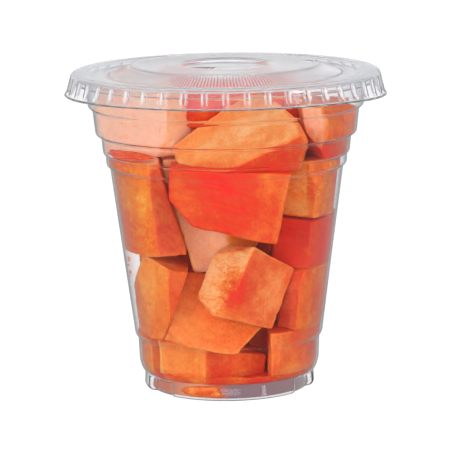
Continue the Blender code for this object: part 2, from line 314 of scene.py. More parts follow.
def cube_shell(steps):
    """Points over a cube's six sides, on an even grid of two angles each, and the quads between them.

    Points that two or three sides share are kept once.
    """
    angles = np.linspace(-1, 1, steps + 1)
    u, v = np.meshgrid(angles, angles, indexing="ij")
    u, v = np.tan(u * np.pi / 4).ravel(), np.tan(v * np.pi / 4).ravel()
    one = np.ones_like(u)
    points = np.concatenate([np.c_[one, u, v], np.c_[-one, v, u], np.c_[v, one, u],
                             np.c_[u, -one, v], np.c_[u, v, one], np.c_[v, u, -one]])
    row, column = np.meshgrid(np.arange(steps), np.arange(steps), indexing="ij")
    low = (row * (steps + 1) + column).ravel()
    quads = np.c_[low, low + steps + 1, low + steps + 2, low + 1]
    quads = np.concatenate([quads + side * (steps + 1) ** 2 for side in range(6)])
    rounded = np.round(points, 6)
    _, first, index = np.unique(rounded, axis=0, return_index=True, return_inverse=True)
    return points[first], index.reshape(-1)[quads].tolist()


def ripples(spots, length, seed, waves=24):
    """A soft random field of about -1 to 1: sine waves of about one length, each with its own way and phase."""
    draw = np.random.default_rng(seed)
    ways = draw.normal(size=(waves, 3))
    spread = draw.uniform(*WAVE_SPREAD, waves)
    ways *= 2 * np.pi / (np.linalg.norm(ways, axis=1) * length * spread)[:, None]
    phases = draw.uniform(0, 2 * np.pi, waves)
    return np.sin(spots @ ways.T + phases).sum(axis=1) / math.sqrt(waves)


def flesh_waves(kind, spots, seed):
    """One of the fields named in WAVES."""
    strength, length, step, waves = WAVES[kind]
    return strength * ripples(spots, length * MM, seed + step, waves)


def smooth_step(low, high, value):
    """0 up to low, 1 from high on, and smooth between."""
    share = np.clip((value - low) / (high - low), 0, 1)
    return share * share * (3 - 2 * share)


def unit(way):
    return np.array(way, float) / np.linalg.norm(way)


def add_mesh(name, spots, faces, paint, values=None, grain=None):
    """A smooth piece of one material. values, by name, and grain are numbers and places held at its points."""
    mesh = bpy.data.meshes.new(name)
    mesh.from_pydata(spots.tolist(), [], faces)
    for kind, amounts in (values or {}).items():
        held = mesh.attributes.new(kind, "FLOAT", "POINT")
        held.data.foreach_set("value", amounts.astype(np.float32))
    if grain is not None:
        held = mesh.attributes.new("grain", "FLOAT_VECTOR", "POINT")
        held.data.foreach_set("vector", grain.astype(np.float32).ravel())
    mesh.shade_smooth()
    mesh.materials.append(paint)
    piece = bpy.data.objects.new(name, mesh)
    scene.collection.objects.link(piece)
    return piece


def press_to_wall(at, normal, amount):
    """Moves the points that face the wall outward to it, at the cup's left and right side and its back.

    A point moves by its gap to the wall, less WALL_CLEARANCE, times how squarely it faces the wall, how
    near it is, how far it lies to the side or to the back, and the amount.
    """
    radius = np.hypot(at[:, 0], at[:, 1])
    way = np.c_[at[:, 0], at[:, 1], 0 * radius] / radius[:, None]
    corners = np.array(FRUIT_WALL)[::-1]
    wall = np.interp(at[:, 2] / MM, corners[:, 1], corners[:, 0])
    gap = wall - CUP_WALL - WALL_CLEARANCE - radius / MM
    near = 1 - smooth_step(PRESSED_GAP - PRESSED_FADE, PRESSED_GAP, gap)
    share = smooth_step(*FACES_WALL, (normal * way).sum(axis=1)) * near
    share *= np.maximum(smooth_step(*AT_SIDES, abs(way[:, 0])), smooth_step(*AT_BACK, way[:, 1])) * amount
    return at + way * (np.maximum(gap, 0) * share * MM)[:, None]


def chunk_form(node, points):
    """A chunk before its relief: its middle, its points, the way out to each, its normal and its edges.

    From the middle, each way out ends where the faces stop it, by a soft minimum. The distance is (sum over
    wide faces of (cosine / distance to the face) ^ SHARPNESS) ^ (-1 / SHARPNESS), or that to the nearest
    face of any width plus EDGE_PROUD if that is less.
    """
    facing, reach, width, spots = flat_faces(node)
    box_middle = (spots.min(axis=0) + spots.max(axis=0)) / 2
    middle = (box_middle + spots.mean(axis=0)) / 2
    _, _, axes = np.linalg.svd(spots - spots.mean(axis=0), full_matrices=False)
    axes *= np.sign(np.linalg.det(axes))
    half = np.ptp((spots - middle) @ axes.T, axis=0) / 2
    ways = (points * half) @ axes
    ways /= np.linalg.norm(ways, axis=1)[:, None]
    share = np.clip(ways @ facing.T, 0, None) / (reach - facing @ middle)
    limit = 1 / share.max(axis=1) + EDGE_PROUD * MM
    wide = width > NARROWEST_FACE * MM
    share, facing = share[:, wide], facing[wide]
    nearest = np.sort(share, axis=1)[:, -2:]
    share /= nearest[:, 1:]
    out = 1 / (nearest[:, 1] * (share ** SHARPNESS).sum(axis=1) ** (1 / SHARPNESS))
    normal = (share ** NORMAL_BLEND) @ facing
    normal /= np.linalg.norm(normal, axis=1)[:, None]
    edge = smooth_step(*NEAR_EDGE, nearest[:, 0] / nearest[:, 1])
    return middle, middle + ways * np.minimum(out, limit)[:, None], ways, normal, edge


def chunk_colours(look, middle, at, normal, edge, seed):
    """Tone, blush and strings at a chunk's points, from its depth, its faces, its stains and soft waves."""
    hollow = unit(look["hollow"])
    depth = (at - middle) @ hollow
    depth = (depth - depth.min()) / np.ptp(depth)
    strings = look["strings"] * smooth_step(*ON_HOLLOW, normal @ hollow)
    peel_tone, hollow_tone = look["tones"]
    tone = peel_tone + (hollow_tone - peel_tone) * smooth_step(*TONE_DEPTH, depth)
    blush = np.full(len(at), look["blush"])
    for way, face_tone, face_blush, face_strings in look.get("faces", ()):
        here = smooth_step(*ON_FACE, normal @ unit(way))
        tone += (face_tone - tone) * here
        blush += (face_blush - blush) * here
        strings += (face_strings - strings) * here
    for place, radii, shift in look.get("stains", ()):
        away = np.linalg.norm((at / MM - np.array(place, float)) / radii, axis=1)
        tone += shift * np.exp(-away ** 2)
    tone += flesh_waves("broad_tone", at, seed) + flesh_waves("fine_tone", at, seed)
    # Painted highlight: edges are painted paler, less so where the flesh is torn.
    tone += PAINTED_EDGE_LIGHT * edge * (1 - strings)
    return tone, blush, strings


def chunk(node, look, shell, seed):
    """A piece's surface, from its solid's faces and its look.

    Low waves bend the faces, waves stretched along the strings tear the hollow side, edges are worn and
    nicked, and what faces the cup's wall is pressed to it.
    """
    points, quads = shell
    middle, at, ways, normal, edge = chunk_form(node, points)
    tone, blush, strings = chunk_colours(look, middle, at, normal, edge, seed)
    along = unit(np.cross(unit(look["hollow"]), GRAIN_WAY))
    grain = at - (1 - 1 / GRAIN_STRETCH) * np.outer(at @ along, along)
    drift = [ripples(at, GRAIN_DRIFT_LENGTH * MM, seed + step) for step in (2, 3, 4)]
    grain = grain + GRAIN_DRIFT * MM * np.stack(drift, axis=1)
    torn = flesh_waves("long_tears", grain, seed) + flesh_waves("short_tears", grain, seed)
    relief = SWELL + flesh_waves("bends", at, seed) + flesh_waves("pits", at, seed)
    relief += strings * (TEAR_DEPTH * torn - TORN_BELOW)
    nicks = np.clip(flesh_waves("nicks", at, seed), 0, None) * (1 + strings)
    worn = smooth_step(*NICKED, flesh_waves("worn", at, seed))
    relief -= edge * (EDGE_WORN + NICK_DEPTH * nicks * worn)
    at = press_to_wall(at + ways * (relief * MM)[:, None], normal, look.get("pressed", 1.0))
    piece = add_mesh(node.replace("papaya", "chunk"), at, quads, papaya_paint,
                     {"tone": tone, "blush": blush, "strings": strings}, grain)
    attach(piece, "root")
    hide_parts(node)


# The noises in the flesh: scale for each metre, detail, roughness and distortion.
MOTTLE = (300, 5, 0.68, 0.3)
SPECKLE = (1100, 2, 0.6)
# Painted glints: pale specks painted into the tone in place of the wet flesh's glints.
PAINTED_GLINTS = (620, 2, 0.5, 0.8)
WISPS = (620, 4, 0.6, 1.2)
WETNESS = (420, 3)
PORES = (1500, 3, 0.6)
DIMPLES = (380, 2)
# What they do to the tone, 0 deep red to 1 peach, and to the height of the fine relief.
MOTTLE_TONE, SPECKLE_SHARE, WISP_TONE = 0.35, 1.1, 1.3
# How high the painted glints' noise must rise, and how much paler they paint the flesh anywhere and where it is
# torn.
PAINTED_GLINT_LEVELS = (0.60, 0.70)
GLINTS_PAINTED_ANYWHERE, GLINTS_PAINTED_IN_STRINGS = 0.04, 0.5
DIMPLE_HEIGHT, WISP_HEIGHT = 1.2, 7.0
BUMP_STRENGTH, BUMP_DEPTH = 0.4, 0.12 * MM
# Colour by tone, where blush is 0 and where it is 1.
YELLOW_FLESH = ((0.0, (0.87, 0.012, 0.003)), (0.25, (0.78, 0.052, 0.003)), (0.5, (0.85, 0.155, 0.005)),
                (0.75, (0.94, 0.30, 0.018)), (1.0, (0.95, 0.47, 0.09)))
PINK_FLESH = ((0.0, (0.83, 0.012, 0.016)), (0.25, (0.75, 0.062, 0.020)), (0.5, (0.83, 0.165, 0.046)),
              (0.75, (0.93, 0.33, 0.14)), (1.0, (0.96, 0.56, 0.40)))
FLESH_ROUGHNESS = (0.30, 0.55)
LIGHT_INSIDE, LIGHT_REACH = 0.55, 2.0 * MM
REACH_BY_COLOUR = (1.0, 0.22, 0.10)


def noise(tree, coords, scale, detail=3.0, roughness=0.55, distortion=0.0):
    node = tree.nodes.new("ShaderNodeTexNoise")
    node.inputs["Scale"].default_value = scale
    node.inputs["Detail"].default_value = detail
    node.inputs["Roughness"].default_value = roughness
    node.inputs["Distortion"].default_value = distortion
    link(tree, coords, node.inputs["Vector"])
    return node.outputs["Fac"]


def attribute(tree, name, output="Fac"):
    node = tree.nodes.new("ShaderNodeAttribute")
    node.attribute_name = name
    return node.outputs[output]


def noise_between(tree, coords, low, high, *kind):
    """A noise stretched over low to high."""
    node = tree.nodes.new("ShaderNodeMapRange")
    node.inputs["To Min"].default_value = low
    node.inputs["To Max"].default_value = high
    link(tree, noise(tree, coords, *kind), node.inputs["Value"])
    return node.outputs[0]


def bump(tree, height, strength, depth):
    """The normal of a surface with this fine relief."""
    node = tree.nodes.new("ShaderNodeBump")
    node.inputs["Strength"].default_value = strength
    node.inputs["Distance"].default_value = depth
    link(tree, height, node.inputs["Height"])
    return node.outputs[0]


def papaya_material():
    """Colour runs from deep red to peach by tone, on a yellower and a pinker ramp that blush mixes."""
    paint = bpy.data.materials.new("papaya_flesh")
    tree = node_tree(paint)
    coords = tree.nodes.new("ShaderNodeTexCoord").outputs["Object"]
    strings = attribute(tree, "strings")
    mottle = math_node(tree, "SUBTRACT", noise(tree, coords, *MOTTLE), 0.5)
    speckle = math_node(tree, "SUBTRACT", noise(tree, coords, *SPECKLE), 0.5)
    mottle = math_node(tree, "ADD", mottle, math_node(tree, "MULTIPLY", speckle, SPECKLE_SHARE))
    # Painted glints: pale specks added to the tone, mostly on the torn flesh.
    painted_glints = fade(tree, noise(tree, coords, *PAINTED_GLINTS), *PAINTED_GLINT_LEVELS)
    glint_paint_tone = math_node(tree, "MULTIPLY", strings, GLINTS_PAINTED_IN_STRINGS)
    glint_paint_tone = math_node(tree, "ADD", glint_paint_tone, GLINTS_PAINTED_ANYWHERE)
    painted_glints = math_node(tree, "MULTIPLY", painted_glints, glint_paint_tone)
    wisps = math_node(tree, "SUBTRACT", noise(tree, attribute(tree, "grain", "Vector"), *WISPS), 0.5)
    wisps = math_node(tree, "MULTIPLY", wisps, strings)
    mottle = math_node(tree, "MULTIPLY", mottle, MOTTLE_TONE)
    tone = math_node(tree, "ADD", attribute(tree, "tone"), mottle)
    tone = math_node(tree, "ADD", tone, painted_glints)
    tone = math_node(tree, "ADD", tone, math_node(tree, "MULTIPLY", wisps, WISP_TONE), True)
    yellow = colour_ramp(tree, YELLOW_FLESH)
    pink = colour_ramp(tree, PINK_FLESH)
    mixed = tree.nodes.new("ShaderNodeMix")
    mixed.data_type = "RGBA"
    link(tree, tone, yellow.inputs[0])
    link(tree, tone, pink.inputs[0])
    link(tree, attribute(tree, "blush"), mixed.inputs["Factor"])
    link(tree, yellow.outputs["Color"], mixed.inputs["A"])
    link(tree, pink.outputs["Color"], mixed.inputs["B"])
    shader = tree.nodes.new("ShaderNodeBsdfPrincipled")
    link(tree, mixed.outputs["Result"], shader.inputs["Base Color"])
    link(tree, noise_between(tree, coords, *FLESH_ROUGHNESS, *WETNESS), shader.inputs["Roughness"])
    shader.inputs["Subsurface Weight"].default_value = LIGHT_INSIDE
    shader.inputs["Subsurface Radius"].default_value = REACH_BY_COLOUR
    shader.inputs["Subsurface Scale"].default_value = LIGHT_REACH
    shader.inputs["Specular IOR Level"].default_value = 0.2
    shader.inputs["Coat Weight"].default_value = 0.06
    shader.inputs["Coat Roughness"].default_value = 0.12
    dimples = math_node(tree, "MULTIPLY", noise(tree, coords, *DIMPLES), DIMPLE_HEIGHT)
    height = math_node(tree, "ADD", noise(tree, coords, *PORES), dimples)
    height = math_node(tree, "ADD", height, math_node(tree, "MULTIPLY", wisps, WISP_HEIGHT))
    link(tree, bump(tree, height, BUMP_STRENGTH, BUMP_DEPTH), shader.inputs["Normal"])
    out = tree.nodes.new("ShaderNodeOutputMaterial")
    link(tree, shader.outputs[0], out.inputs["Surface"])
    return paint


papaya_paint = papaya_material()
# How each shown piece was cut. hollow: the way to the seed hollow. tones: at its peel side and its hollow
# side, 0 deep red to 1 peach. blush: 0 yellow to 1 pink. strings: how torn its hollow side is. faces: the way
# a face looks, its tone, blush and strings. stains: where in millimetres, how wide in X, Y and Z, and how
# much paler. pressed: how much of the way to the wall it is pressed, 1 if left out. The face tones are partly
# the flesh's own and partly painted light and shade: most faces turned left or up are painted paler than
# those turned right or down.
LOOKS = {
    "front_slab": dict(hollow=(-0.6, -0.5, 0.6), tones=(0.35, 0.1), blush=0.3, strings=0.1,
                       faces=(((0, -1, 0), 0.27, 0.15, 0.03), ((0, 0, 1), 0.10, 0.3, 0.2),
                              ((1, 0, -0.2), 0.5, 0.0, 0), ((0.64, -0.77, 0), 0.42, 0.3, 0)),
                       stains=(((-3, -30, 68), (7, 9, 4.5), -0.20), ((4, -30, 60), (8, 9, 6), -0.16),
                               ((13, -30, 69), (4, 9, 4), 0.25), ((14, -30, 58), (6, 9, 8), 0.08),
                               ((-14, -30, 65), (5, 9, 9), 0.12))),
    # Its upward face is painted paler and its downward face darker: partly its own tone, partly painted light
    # and shade.
    "top_front": dict(hollow=(0.7, -0.3, -0.6), tones=(0.8, 0.4), blush=0.4, strings=0.0,
                      faces=(((-0.37, -0.5, 0.79), 0.74, 0.45, 0.0), ((0.21, -0.87, -0.45), 0.26, 0.4, 0.0)),
                      stains=(((22, -18, 87), (7, 8, 5), 0.22), ((-6, -28, 73), (14, 9, 4), -0.22))),
    # Its own peach is painted paler and pinker with the plastic's whitish reflection: a painted reflection.
    "top_left": dict(hollow=(0.3, 0.8, -0.5), tones=(0.98, 0.55), blush=0.9, strings=0.0,
                     faces=(((-0.57, -0.82, 0), 1.04, 1.0, 0.0), ((0.82, -0.57, 0), 1.0, 0.7, 0.0))),
    # Its top face, which lies in shade, is painted pale pink: a painted reflection of the plastic.
    "left_high": dict(hollow=(-0.8, -0.4, 0), tones=(0.45, 0.45), blush=0.2, strings=0.1,
                      faces=(((-0.82, -0.57, 0), 0.46, 0.0, 0.35), ((0.57, -0.82, 0), 0.38, 0.95, 0.0),
                             ((0, 0, 1), 0.85, 1.0, 0)),
                      stains=(((-27, -24, 58), (3, 4, 13), 0.28), ((-33, -15, 52), (4, 6, 9), -0.12))),
    "left_low": dict(hollow=(0.7, -0.2, -0.5), tones=(0.75, 0.25), blush=0.3, strings=0.1, pressed=0.0,
                     faces=(((-0.77, -0.64, 0), 0.60, 0.2, 0.15), ((0.64, -0.77, 0), 0.46, 0.6, 0.05)),
                     stains=(((-24, -20, 36), (4, 6, 8), 0.15), ((-25, -15, 22), (5, 6, 6), -0.12))),
    "low_front": dict(hollow=(0, 0.8, -0.6), tones=(0.6, 0.25), blush=0.4, strings=0.0,
                      faces=(((0, -0.77, 0.64), 0.60, 0.4, 0.0),),
                      stains=(((-16, -20, 28), (6, 8, 8), 0.16), ((3, -24, 20), (8, 8, 5), -0.08))),
    "middle_front": dict(hollow=(-0.7, -0.5, 0.4), tones=(0.5, 0.7), blush=0.4, strings=0.9,
                         faces=(((-0.7, -0.54, 0.47), 0.98, 0.4, 1.0), ((0.62, -0.79, 0), 0.42, 0.6, 0.0),
                                ((-0.4, -0.1, 0.9), 0.82, 0.4, 0.8)),
                         stains=(((1, -30, 35), (4, 6, 7), -0.62), ((14, -22, 36), (4, 8, 8), 0.18))),
    # Its left face, which lies in shade, is painted the palest peach: painted light.
    "front_wedge": dict(hollow=(0.4, 0.7, 0.5), tones=(1.0, 0.7), blush=0.7, strings=0.0,
                        faces=(((-0.6, -0.67, -0.42), 1.15, 0.2, 0.05), ((0.74, -0.67, 0), 0.62, 0.0, 0.0))),
    "floor_front": dict(hollow=(0.8, -0.2, -0.3), tones=(0.8, 0.3), blush=0.3, strings=0.0,
                        faces=(((-0.53, -0.85, 0), 0.62, 0.25, 0.03), ((0.57, -0.82, 0), 0.40, 0.45, 0.0))),
    "top_right": dict(hollow=(0.3, 0.6, -0.7), tones=(0.6, 0.2), blush=0.4, strings=0.2,
                      faces=(((-0.57, -0.82, 0), 0.90, 0.9, 0.0), ((0.82, -0.57, 0), 0.46, 0.0, 0.15)),
                      stains=(((28, -25, 78), (12, 12, 4), -0.5),)),
    "right_high": dict(hollow=(-0.6, -0.8, 0.1), tones=(0.4, 0.5), blush=0.1, strings=0.6,
                       faces=(((-0.82, -0.57, 0), 0.88, 0.1, 0.7), ((0.57, -0.82, 0), 0.56, 0.0, 0.4)),
                       stains=(((21, -27, 67), (4, 5, 8), 0.2),)),
    "right_middle": dict(hollow=(0.2, -0.9, -0.3), tones=(0.3, 0.1), blush=0.2, strings=0.0,
                         faces=(((-0.64, -0.77, 0), 0.14, 0.5, 0.0), ((0.77, -0.64, 0), 0.14, 0.0, 0.1))),
    # Its left face is painted dark pink: painted shade.
    "right_low": dict(hollow=(-0.8, -0.3, 0), tones=(0.5, 0.25), blush=0.1, strings=0.1,
                      faces=(((0.64, -0.77, 0), 0.40, 0.0, 0.15), ((-0.77, -0.64, 0), 0.3, 1.0, 0.0))),
    "floor_right": dict(hollow=(-0.3, 0.6, 0.7), tones=(0.5, 0.15), blush=0.4, strings=0.0,
                        faces=(((0.17, -0.98, 0), 0.42, 0.4, 0.0),)),
    "floor_left": dict(hollow=(0.6, 0.5, 0.5), tones=(0.6, 0.4), blush=0.2, strings=0.0),
    "top_middle": dict(hollow=(0, -0.9, -0.3), tones=(0.4, 0.12), blush=0.1, strings=0.4),
}
INNER_SEED = 11         # of the looks of the chunks behind, which are drawn by chance
CHUNK_SEEDS = 100       # how far apart the seeds of two chunks are
fine_shell, plain_shell = cube_shell(FINE_STEPS), cube_shell(PLAIN_STEPS)
draw = np.random.default_rng(INNER_SEED)
for place, node in enumerate(sorted(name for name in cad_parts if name.startswith("papaya_"))):
    look = LOOKS.get(node.removeprefix("papaya_"))
    if look is None:
        low, high = sorted(draw.uniform(0.0, 0.7, 2))
        look = dict(hollow=draw.normal(size=3), tones=(high, low), blush=draw.uniform(0.2, 0.8),
                    strings=draw.uniform(0.2, 1.0))
        chunk(node, look, plain_shell, CHUNK_SEEDS * place)
    else:
        chunk(node, look, fine_shell, CHUNK_SEEDS * place)

# --------------------------------------------------------------------------------------------- the scraps
# Scraps that came off when the fruit was cut: a torn strip that fills the seam between the two left chunks,
# pulp that sank into the hollow foot, and crumbs that stick to the wall. Middle and half size in millimetres,
# turn about Z in degrees, and tone.
SCRAPS = (("seam_strip", (-29.6, -17.0, 76.6), (8.6, 2.2, 1.3), -35, 0.35),
          ("seam_bit", (-34.6, -10.5, 76.4), (3.4, 1.8, 1.2), -70, 0.3),
          ("foot_pulp", (-8.5, -23.9, 2.7), (6.5, 0.8, 1.8), -19.6, 0.5),
          ("crumb_1", (-31.0, -9.6, 42.5), (0.5, 0.3, 0.8), -72, 0.6),
          ("crumb_2", (-31.2, -8.2, 40.4), (0.4, 0.3, 0.3), -75, 0.5),
          ("crumb_3", (-30.6, -9.4, 38.3), (0.5, 0.3, 0.6), -72, 0.6),
          ("crumb_4", (-30.9, -7.6, 36.6), (0.3, 0.2, 0.3), -76, 0.5))
SCRAP_STEPS, SCRAP_SEED = 16, 5000
LUMPS, LUMP_LENGTH = 0.16, 1.1              # on a ball of radius 1
SCRAP_TONES, SCRAP_TONE_LENGTH = 0.1, 3
SCRAP_BLUSH, SCRAP_STRINGS = 0.3, 0.5


def scrap(name, middle, half, turn, tone, seed):
    """A lumpy flattened ball: a sphere bent by low waves and scaled to half."""
    points, quads = cube_shell(SCRAP_STEPS)
    ball = points / np.linalg.norm(points, axis=1)[:, None]
    ball *= (1 + LUMPS * ripples(ball, LUMP_LENGTH, seed))[:, None]
    x, y, z = (ball * half).T
    c, s = math.cos(math.radians(turn)), math.sin(math.radians(turn))
    at = (np.c_[x * c - y * s, x * s + y * c, z] + middle) * MM
    values = {"tone": tone + SCRAP_TONES * ripples(at, SCRAP_TONE_LENGTH * MM, seed),
              "blush": np.full(len(at), SCRAP_BLUSH), "strings": np.full(len(at), SCRAP_STRINGS)}
    piece = add_mesh("scrap_" + name, at, quads, papaya_paint, values, at)
    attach(piece, "root")


for place, row in enumerate(SCRAPS):
    scrap(*row, seed=SCRAP_SEED + place)

# ------------------------------------------------------------------------------------------------ the cup
# One thermoformed shell of clear thin plastic, stepped in under its rolled rim so that cups nest, with a
# heel band and a three-lobed foot round a raised floor. Sizes are in millimetres and bearings in degrees.
PLASTIC_IOR = 1.45
MIRROR_TINT = (0.45, 0.45, 0.45)
WALL_GREY, WALL_DENSITY = (0.30, 0.15, 0.35), 60       # absorption for each metre inside the plastic
LAMP_TINT = (0.97, 0.975, 0.98)                        # of the lamps' light that the plastic lets through
HAZE = (90, 3)                                         # noise scale for each metre, and detail
RIPPLE_DETAIL, RIPPLE_STRENGTH = 2, 0.25
CUP_TURNS = 300
CUP_ROUNDING, LARGEST_CUT = 0.5, 0.45       # length cut off beside a corner, at most this share of a side
CUP_LONGEST = 3.0                           # side of the outline
RIM_CURL = 1.35
RIM_CURL_MIDDLE = (46.95, 98.75)
CURL_FROM, CURL_TO, CURL_POINTS = 165, -120, 16
FOOT_TOP = 4.9
FOOT_PANELS = 3
PANEL_MIDDLE, PANEL_HALF_WIDTH, PANEL_FADE = 64.0, 12.5, 2.5
PANEL_DEPTH, PANEL_TOP_FADE = 1.6, 0.9
FOOT_WALL = (24.3, 25.2)                    # from the foot's hollow to its wall
SHEET_WAVES = ((0.02, 9, 0.09), (0.012, 23, -0.13))     # height, number round the axis, lean for each mm
WAVES_SET_IN = (20, 27)                     # radii


def rounded_outline(corners, cut, steps=5):
    """The outline with each inner corner swapped for a short parabola that leaves and rejoins its two sides."""
    corners = np.array(corners, float)
    t = np.linspace(0, 1, steps)[:, None]
    rows = [corners[:1]]
    for before, corner, after in zip(corners, corners[1:], corners[2:]):
        back, on = before - corner, after - corner
        start = corner + back * min(cut / np.linalg.norm(back), LARGEST_CUT)
        end = corner + on * min(cut / np.linalg.norm(on), LARGEST_CUT)
        rows.append((1 - t) ** 2 * start + 2 * t * (1 - t) * corner + t ** 2 * end)
    return np.concatenate(rows + [corners[-1:]])


def split_long(outline, longest):
    """Adds even points on every side longer than this."""
    rows = []
    for start, end in zip(outline, outline[1:]):
        count = max(int(math.ceil(np.linalg.norm(end - start) / longest)), 1)
        rows.append(start + (end - start) * np.arange(count)[:, None] / count)
    return np.concatenate(rows + [outline[-1:]])


def offset_outline(outline, distance):
    """The outline moved sideways, to the right of its direction, along the mean normal at each point."""
    run = np.gradient(outline, axis=0)
    run /= np.maximum(np.linalg.norm(run, axis=1), 1e-9)[:, None]
    moved = outline + distance * np.c_[run[:, 1], -run[:, 0]]
    moved[:, 0] = np.maximum(moved[:, 0], 0)
    moved[outline[:, 0] == 0, 0] = 0
    return moved


def rings(outline, turns):
    """Radius, height and bearing from the front, in degrees, of the outline's points all round the axis.

    The two ends of the outline, which lie on the axis, are left out.
    """
    bearing = np.linspace(0, 360, turns, endpoint=False) + 0 * outline[1:-1, :1]
    return outline[1:-1, :1] + 0 * bearing, outline[1:-1, 1:] + 0 * bearing, bearing


def turned(outline, turns, shape):
    """The outline carried round the axis, bent by shape. Its two ends become poles."""
    radius, height, bearing = rings(outline, turns)
    radius, height = shape(radius, height, bearing)
    bearing = np.radians(bearing)
    spots = np.c_[(radius * np.sin(bearing)).ravel(), (-radius * np.cos(bearing)).ravel(), height.ravel()]
    spots = np.concatenate([spots, [[0, 0, outline[0, 1]], [0, 0, outline[-1, 1]]]]) * MM
    here = np.arange(radius.size).reshape(-1, turns)
    beside = np.roll(here, -1, axis=1)
    quads = np.stack([here[:-1], here[1:], beside[1:], beside[:-1]], axis=-1).reshape(-1, 4).tolist()
    top = np.c_[np.full(turns, radius.size), here[0], beside[0]].tolist()
    bottom = np.c_[np.full(turns, radius.size + 1), beside[-1], here[-1]].tolist()
    return spots, quads + top + bottom


def off_nearest(bearing, first, count):
    """Degrees to the nearest of count marks, spread evenly round the axis from the first one's bearing."""
    apart = 360 / count
    return abs((bearing - first + apart / 2) % apart - apart / 2)


def foot_lobes(radius, height, bearing):
    """Presses the foot's outer wall in over three panels, with soft sides, and adds the sheet's faint waves."""
    off = off_nearest(bearing, PANEL_MIDDLE, FOOT_PANELS)
    panel = 1 - smooth_step(PANEL_HALF_WIDTH - PANEL_FADE, PANEL_HALF_WIDTH + PANEL_FADE, off)
    low = 1 - smooth_step(FOOT_TOP - PANEL_TOP_FADE, FOOT_TOP, height)
    outer = smooth_step(*FOOT_WALL, radius)
    wave = sum(size * np.sin(np.radians(bearing) * number + height * lean)
               for size, number, lean in SHEET_WAVES)
    return radius - PANEL_DEPTH * panel * low * outer + wave * smooth_step(*WAVES_SET_IN, radius), height


def clear_plastic(name, tint, roughness, clarity, ripple_scale, ripple_depth, with_painted_highlights=False):
    """Clear sheet that bends and mirrors light, and greys where the light runs far inside its wall.

    It lets a lamp's light straight through. A sheet with painted highlights is whitened where its attribute
    paints them.
    """
    paint = bpy.data.materials.new(name)
    tree = node_tree(paint)
    shader = tree.nodes.new("ShaderNodeBsdfPrincipled")
    shader.inputs["Base Color"].default_value = (*tint, 1)
    shader.inputs["Transmission Weight"].default_value = clarity
    if with_painted_highlights:
        # Painted highlights: the sheet is whiter and less clear where the attribute says.
        clear_part = math_node(tree, "SUBTRACT", clarity, attribute(tree, "highlight_paint"), True)
        link(tree, clear_part, shader.inputs["Transmission Weight"])
    shader.inputs["IOR"].default_value = PLASTIC_IOR
    shader.inputs["Specular Tint"].default_value = (*MIRROR_TINT, 1)
    coords = tree.nodes.new("ShaderNodeTexCoord").outputs["Object"]
    haze = noise_between(tree, coords, roughness * 0.5, roughness * 1.5, *HAZE)
    link(tree, haze, shader.inputs["Roughness"])
    ripple = noise(tree, coords, ripple_scale, RIPPLE_DETAIL)
    link(tree, bump(tree, ripple, RIPPLE_STRENGTH, ripple_depth * MM), shader.inputs["Normal"])
    through = tree.nodes.new("ShaderNodeBsdfTransparent")
    through.inputs["Color"].default_value = (*LAMP_TINT, 1)
    path = tree.nodes.new("ShaderNodeLightPath")
    mixed = tree.nodes.new("ShaderNodeMixShader")
    out = tree.nodes.new("ShaderNodeOutputMaterial")
    link(tree, path.outputs["Is Shadow Ray"], mixed.inputs[0])
    link(tree, shader.outputs[0], mixed.inputs[1])
    link(tree, through.outputs[0], mixed.inputs[2])
    link(tree, mixed.outputs[0], out.inputs["Surface"])
    inside = tree.nodes.new("ShaderNodeVolumeAbsorption")
    inside.inputs["Color"].default_value = (*WALL_GREY, 1)
    inside.inputs["Density"].default_value = WALL_DENSITY
    link(tree, inside.outputs[0], out.inputs["Volume"])
    return paint


def add_cup():
    """The wall's inside runs over the top of the curl to its tucked-in edge, and back to the wall's outside."""
    turns = np.radians(np.linspace(CURL_FROM, CURL_TO, CURL_POINTS))[:, None]
    way = np.c_[np.cos(turns), np.sin(turns)]
    over = np.array(RIM_CURL_MIDDLE) + RIM_CURL * way
    under = np.array(RIM_CURL_MIDDLE) + (RIM_CURL - CUP_WALL) * way[::-1]
    body = split_long(rounded_outline(CUP_OUTSIDE, CUP_ROUNDING), CUP_LONGEST)
    inside = offset_outline(body, CUP_WALL)
    outline = np.concatenate([inside[::-1], over, under, body])
    spots, faces = turned(outline, CUP_TURNS, foot_lobes)
    paint = clear_plastic("clear_cup", tint=(0.985, 0.99, 0.995), roughness=0.02, clarity=1.0,
                          ripple_scale=60, ripple_depth=0.1)
    cup = add_mesh("clear_cup_shell", spots, faces, paint)
    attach(cup, "root")
    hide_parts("cup")


add_cup()

# ---------------------------------------------------------------------------------------------- the juice
# What the fruit has lost: juice thick with fine pulp that stands on the cup's floor and creeps up the wall.
# Its outline is radius and height in millimetres, over its top from the axis to the wall and back below.
JUICE_TURNS = 240
JUICE_OUTLINE = ((0, 5.9), (20, 5.9), (25.2, 5.9), (26.9, 6.6), (27.55, 7.8), (27.45, 7.0), (27.1, 6.0),
                 (26.5, 5.3), (20, 5.3), (0, 5.3))
JUICE_ROUNDING, JUICE_LONGEST = 0.4, 1.5
JUICE_RISE = 0.30
JUICE_WAVES = ((1, 5, 1), (0.7, 11, 2), (0.5, 23, 0), (0.4, 41, 1))     # share, number round the axis, phase
JUICE_LINE = (6.6, 7.8)         # heights between which the waves set in
JUICE_TONE, JUICE_TONES, JUICE_TONE_LENGTH, JUICE_SEED = 0.30, 0.16, 7, 70
JUICE_BLUSH, JUICE_STRINGS = 0.15, 0.3


def juice_relief(radius, height, bearing):
    """The upper line on the wall rises and sinks by low waves, and the middle doesn't."""
    way = np.radians(bearing)
    wave = sum(share * np.sin(way * number + phase) for share, number, phase in JUICE_WAVES)
    return radius, height + JUICE_RISE * wave * smooth_step(*JUICE_LINE, height)


